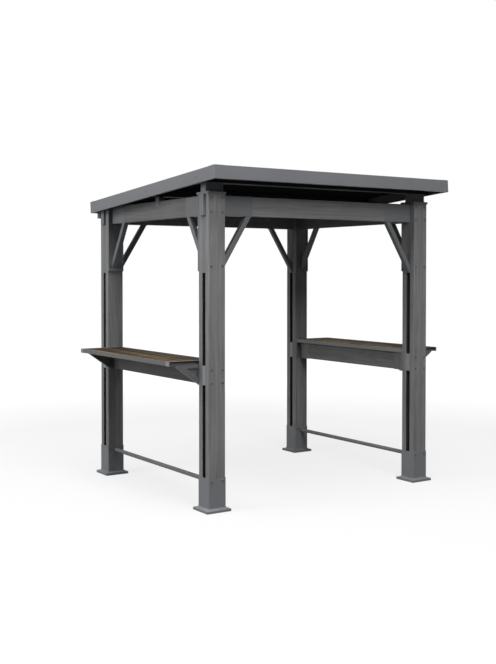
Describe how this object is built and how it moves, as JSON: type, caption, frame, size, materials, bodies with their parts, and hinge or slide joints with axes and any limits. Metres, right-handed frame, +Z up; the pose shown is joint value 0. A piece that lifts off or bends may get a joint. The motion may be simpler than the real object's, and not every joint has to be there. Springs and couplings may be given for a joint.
{
  "type": "grill gazebo",
  "caption": "Free-standing gazebo over an outdoor grill: split legs, knee-braced beams, a low-pitched ribbed roof and a bar top along each side.",
  "frame": {"origin": "on the ground, in the middle of the footprint", "axes": "+X right along the open front, under the high edge of the roof; +Y to the back; +Z up"},
  "size_m": [2.559, 2.0028, 2.4273],
  "materials": {
    "painted_timber": "opaque grey stain, faint grain",
    "painted_steel": "satin grey powder coat",
    "roof_sheet": "satin dark grey coil coating",
    "purlin_steel": "satin dark grey powder coat",
    "bar_planks": "brown stain with streaky grain",
    "fixings": "dark grey"
  },
  "bodies": {
    "root": {"front_left_outer_upright": "painted_timber", "front_left_inner_upright": "painted_timber", "front_right_outer_upright": "painted_timber", "front_right_inner_upright": "painted_timber", "back_left_outer_upright": "painted_timber", "back_left_inner_upright": "painted_timber", "back_right_outer_upright": "painted_timber", "back_right_inner_upright": "painted_timber", "front_beam": "painted_timber", "back_beam": "painted_timber", "left_beam": "painted_timber", "right_beam": "painted_timber", "left_apron": "painted_timber", "right_apron": "painted_timber", "front_left_shoe": "painted_steel", "front_right_shoe": "painted_steel", "back_left_shoe": "painted_steel", "back_right_shoe": "painted_steel", "front_left_base_cover": "painted_steel", "front_right_base_cover": "painted_steel", "back_left_base_cover": "painted_steel", "back_right_base_cover": "painted_steel", "post_caps": "painted_steel", "top_spacers": "painted_steel", "mid_spacers": "painted_steel", "front_left_riser": "painted_steel", "front_right_riser": "painted_steel", "rear_roof_brackets": "painted_steel", "beam_sleeves": "painted_steel", "beam_end_caps": "painted_steel", "front_knee_braces": "painted_steel", "back_knee_braces": "painted_steel", "left_knee_braces": "painted_steel", "right_knee_braces": "painted_steel", "leg_brackets": "painted_steel", "left_bar_edge": "painted_steel", "right_bar_edge": "painted_steel", "bar_corner_caps": "painted_steel", "left_bar_brackets": "painted_steel", "right_bar_brackets": "painted_steel", "apron_hangers": "painted_steel", "left_foot_rail": "painted_steel", "right_foot_rail": "painted_steel", "front_fascia": "painted_steel", "back_fascia": "painted_steel", "left_fascia": "painted_steel", "right_fascia": "painted_steel", "fascia_corner_covers": "painted_steel", "mid_struts": "painted_steel", "left_roof_sheet": "roof_sheet", "middle_roof_sheet": "roof_sheet", "right_roof_sheet": "roof_sheet", "front_purlin": "purlin_steel", "middle_purlin": "purlin_steel", "rear_purlin": "purlin_steel", "left_bar_planks": "bar_planks", "right_bar_planks": "bar_planks", "through_bolts": "fixings", "bolt_nuts": "fixings", "roof_screws": "fixings"}
  },
  "joints": []
}
